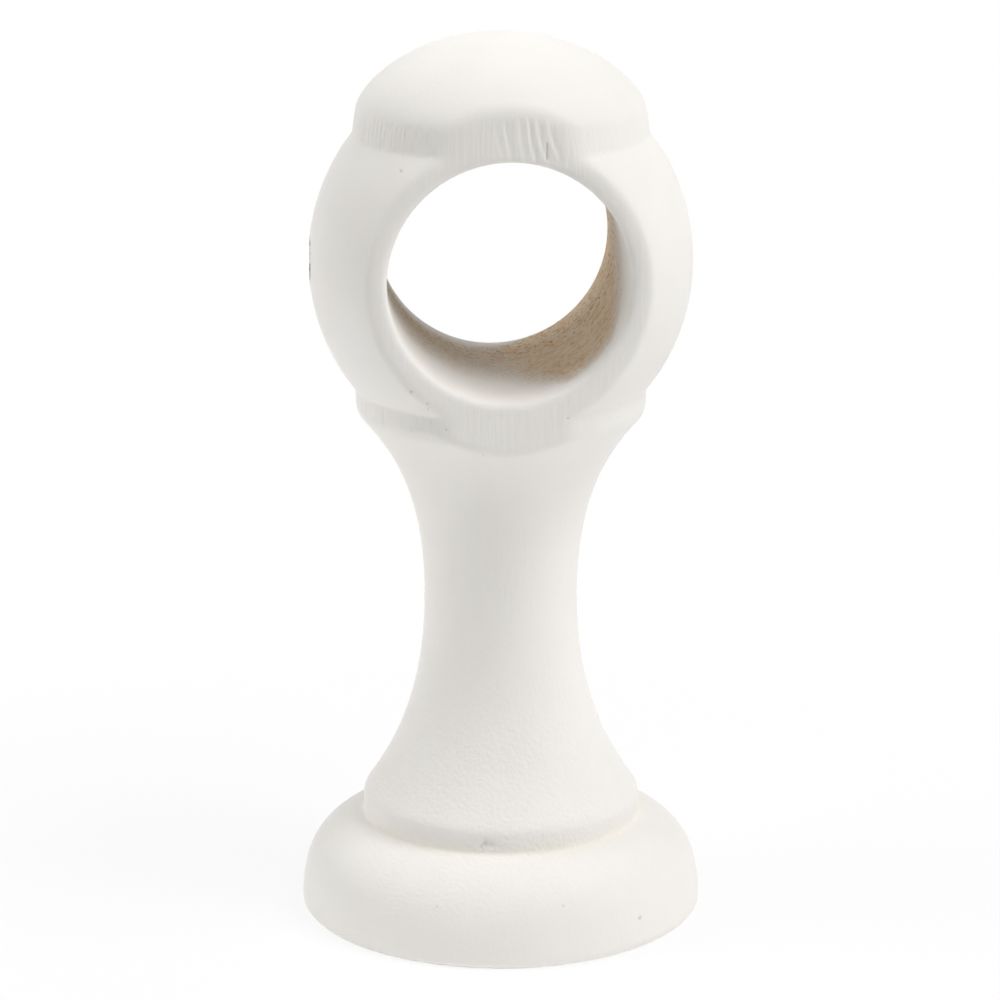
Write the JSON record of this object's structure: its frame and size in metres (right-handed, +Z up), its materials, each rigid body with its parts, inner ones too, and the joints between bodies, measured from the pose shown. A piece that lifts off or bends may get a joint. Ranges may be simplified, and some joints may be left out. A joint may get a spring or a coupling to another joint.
{
  "type": "curtain rod bracket",
  "caption": "Turned wooden curtain rod bracket: round foot, waisted stem and a ball head with two flats and a through bore that carries the pole; off-white paint.",
  "frame": {"origin": "centre of the foot's flat underside", "axes": "+Z up along the turning axis towards the crown, +Y along the pole bore, lock screw hole on the -X side"},
  "size_m": [0.0518, 0.0518, 0.1141],
  "materials": {
    "painted_wood": "satin off-white paint over sanded wood, bare wood inside the bore"
  },
  "bodies": {
    "root": {"bracket": "painted_wood"}
  },
  "joints": []
}
